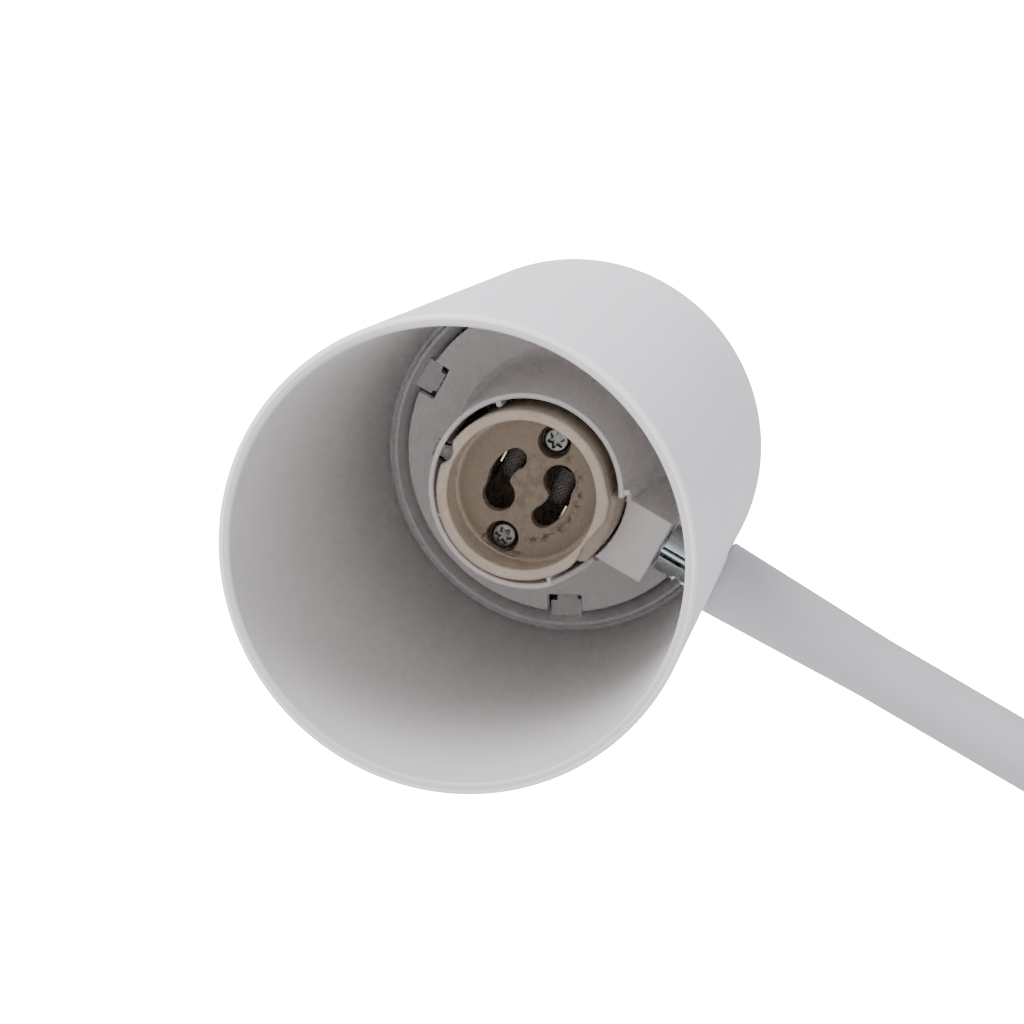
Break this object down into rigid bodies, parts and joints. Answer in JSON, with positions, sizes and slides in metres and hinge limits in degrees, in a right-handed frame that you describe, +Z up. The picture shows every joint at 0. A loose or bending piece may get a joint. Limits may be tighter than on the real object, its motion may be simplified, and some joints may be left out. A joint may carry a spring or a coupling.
{
  "type": "swing arm desk lamp",
  "caption": "Desk lamp with a round weighted base, two hinged tubular arms and a tapered spot shade that turns and tilts on the arm's end, with a ceramic two-pin lampholder inside.",
  "frame": {"origin": "on the desk under the middle of the round base, where the swivel's axis meets the desk", "axes": "+Z up; +X is the way the lower arm leans from its foot, and the upper arm comes back towards -X; both arms lie in the XZ plane and the shade's mouth looks mostly towards -Y, a little down"},
  "size_m": [0.2741, 0.15, 0.4179],
  "materials": {
    "shade_white": "satin moulded white",
    "moulded_white": "matt moulded white",
    "tube_white": "satin white paint on steel",
    "zinc_plate": "bright zinc plate",
    "steatite": "unglazed tan ceramic",
    "iron_core": "black primed casting",
    "black_rubber": "matt black",
    "nylon": "natural nylon",
    "braided_sleeve": "dark glass fibre braid",
    "contact_bronze": "spring bronze"
  },
  "bodies": {
    "base": {"base_pad": "black_rubber", "base_weight": "iron_core", "base_cover": "tube_white", "cord_gland": "black_rubber"},
    "turret": {"turret_fork": "zinc_plate", "swivel_washer": "nylon", "swivel_nut": "zinc_plate", "swivel_spring_washer": "zinc_plate", "shoulder_screw": "zinc_plate", "shoulder_nut": "zinc_plate"},
    "lower_arm": {"shoulder_blade": "zinc_plate", "lower_arm_tube": "tube_white", "lower_arm_foot_bush": "nylon", "lower_arm_top_bush": "nylon", "lower_arm_flex": "black_rubber", "elbow_fork": "zinc_plate", "elbow_screw": "zinc_plate", "elbow_nut": "zinc_plate"},
    "upper_arm": {"elbow_blade": "zinc_plate", "upper_arm_tube": "tube_white", "upper_arm_foot_bush": "nylon", "upper_arm_head_bush": "nylon", "upper_arm_flex": "black_rubber"},
    "wrist": {"head_fork": "zinc_plate", "wrist_nut": "zinc_plate", "head_screw": "zinc_plate", "head_nut": "zinc_plate"},
    "head": {"shade": "shade_white", "slot_stop": "moulded_white", "socket_carrier": "moulded_white", "head_blade": "zinc_plate", "stud_nut": "zinc_plate", "lampholder_body": "steatite", "lampholder_rear": "steatite", "holder_screw_left": "zinc_plate", "holder_screw_right": "zinc_plate", "contact_left": "contact_bronze", "contact_right": "contact_bronze", "wire_left": "braided_sleeve", "wire_right": "braided_sleeve", "flex_clamp": "moulded_white"}
  },
  "joints": [
    {"name": "base_swivel", "type": "hinge", "parent": "base", "child": "turret", "pos_m": [0, 0, 0], "axis": [0, 0, 1], "range_deg": [-170, 170]},
    {"name": "shoulder_tilt", "type": "hinge", "parent": "turret", "child": "lower_arm", "pos_m": [0, 0, 0.04], "axis": [0, 1, 0], "range_deg": [-55, 45]},
    {"name": "elbow_tilt", "type": "hinge", "parent": "lower_arm", "child": "upper_arm", "pos_m": [0.0972, 0, 0.24845], "axis": [0, 1, 0], "range_deg": [-10, 84]},
    {"name": "head_twist", "type": "hinge", "parent": "upper_arm", "child": "wrist", "pos_m": [-0.10056, 0, 0.36588], "axis": [-0.8599, 0, 0.5105], "range_deg": [-170, 170]},
    {"name": "head_tilt", "type": "hinge", "parent": "wrist", "child": "head", "pos_m": [-0.10056, 0, 0.36588], "axis": [0.4653, -0.4115, 0.7837], "range_deg": [-32, 0]}
  ]
}
